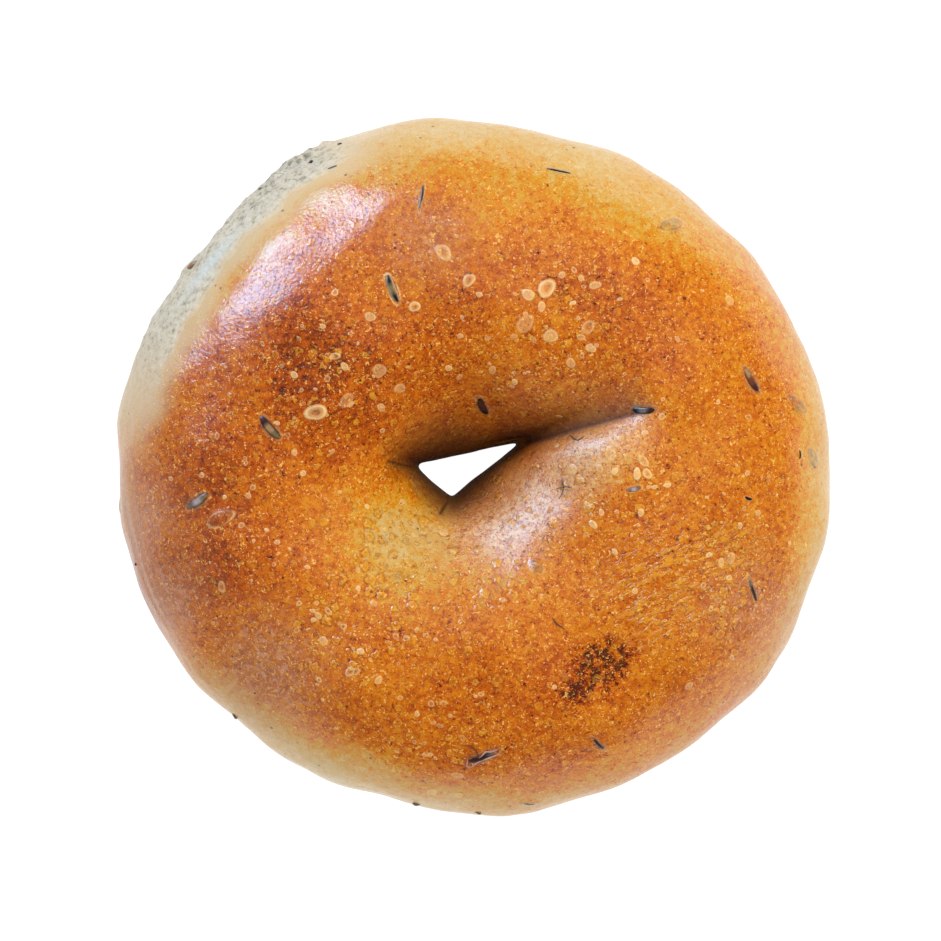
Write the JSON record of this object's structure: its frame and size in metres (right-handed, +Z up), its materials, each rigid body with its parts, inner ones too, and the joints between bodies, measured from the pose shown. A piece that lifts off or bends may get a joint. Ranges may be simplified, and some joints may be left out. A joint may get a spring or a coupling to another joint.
{
  "type": "bagel",
  "caption": "Plump bread ring with a small three-cornered hole, creases running out from its corners, seeds fused in the crust, a torn side and a flat base.",
  "frame": {"origin": "on the flat base, under the middle of the outline", "axes": "+Z up out of the top crust, +X towards the long crease, +Y towards the top of the picture"},
  "size_m": [0.114, 0.1117, 0.0412],
  "materials": {
    "crust": "browned bread crust, slightly glossy"
  },
  "bodies": {
    "root": {"bagel": "crust"}
  },
  "joints": []
}
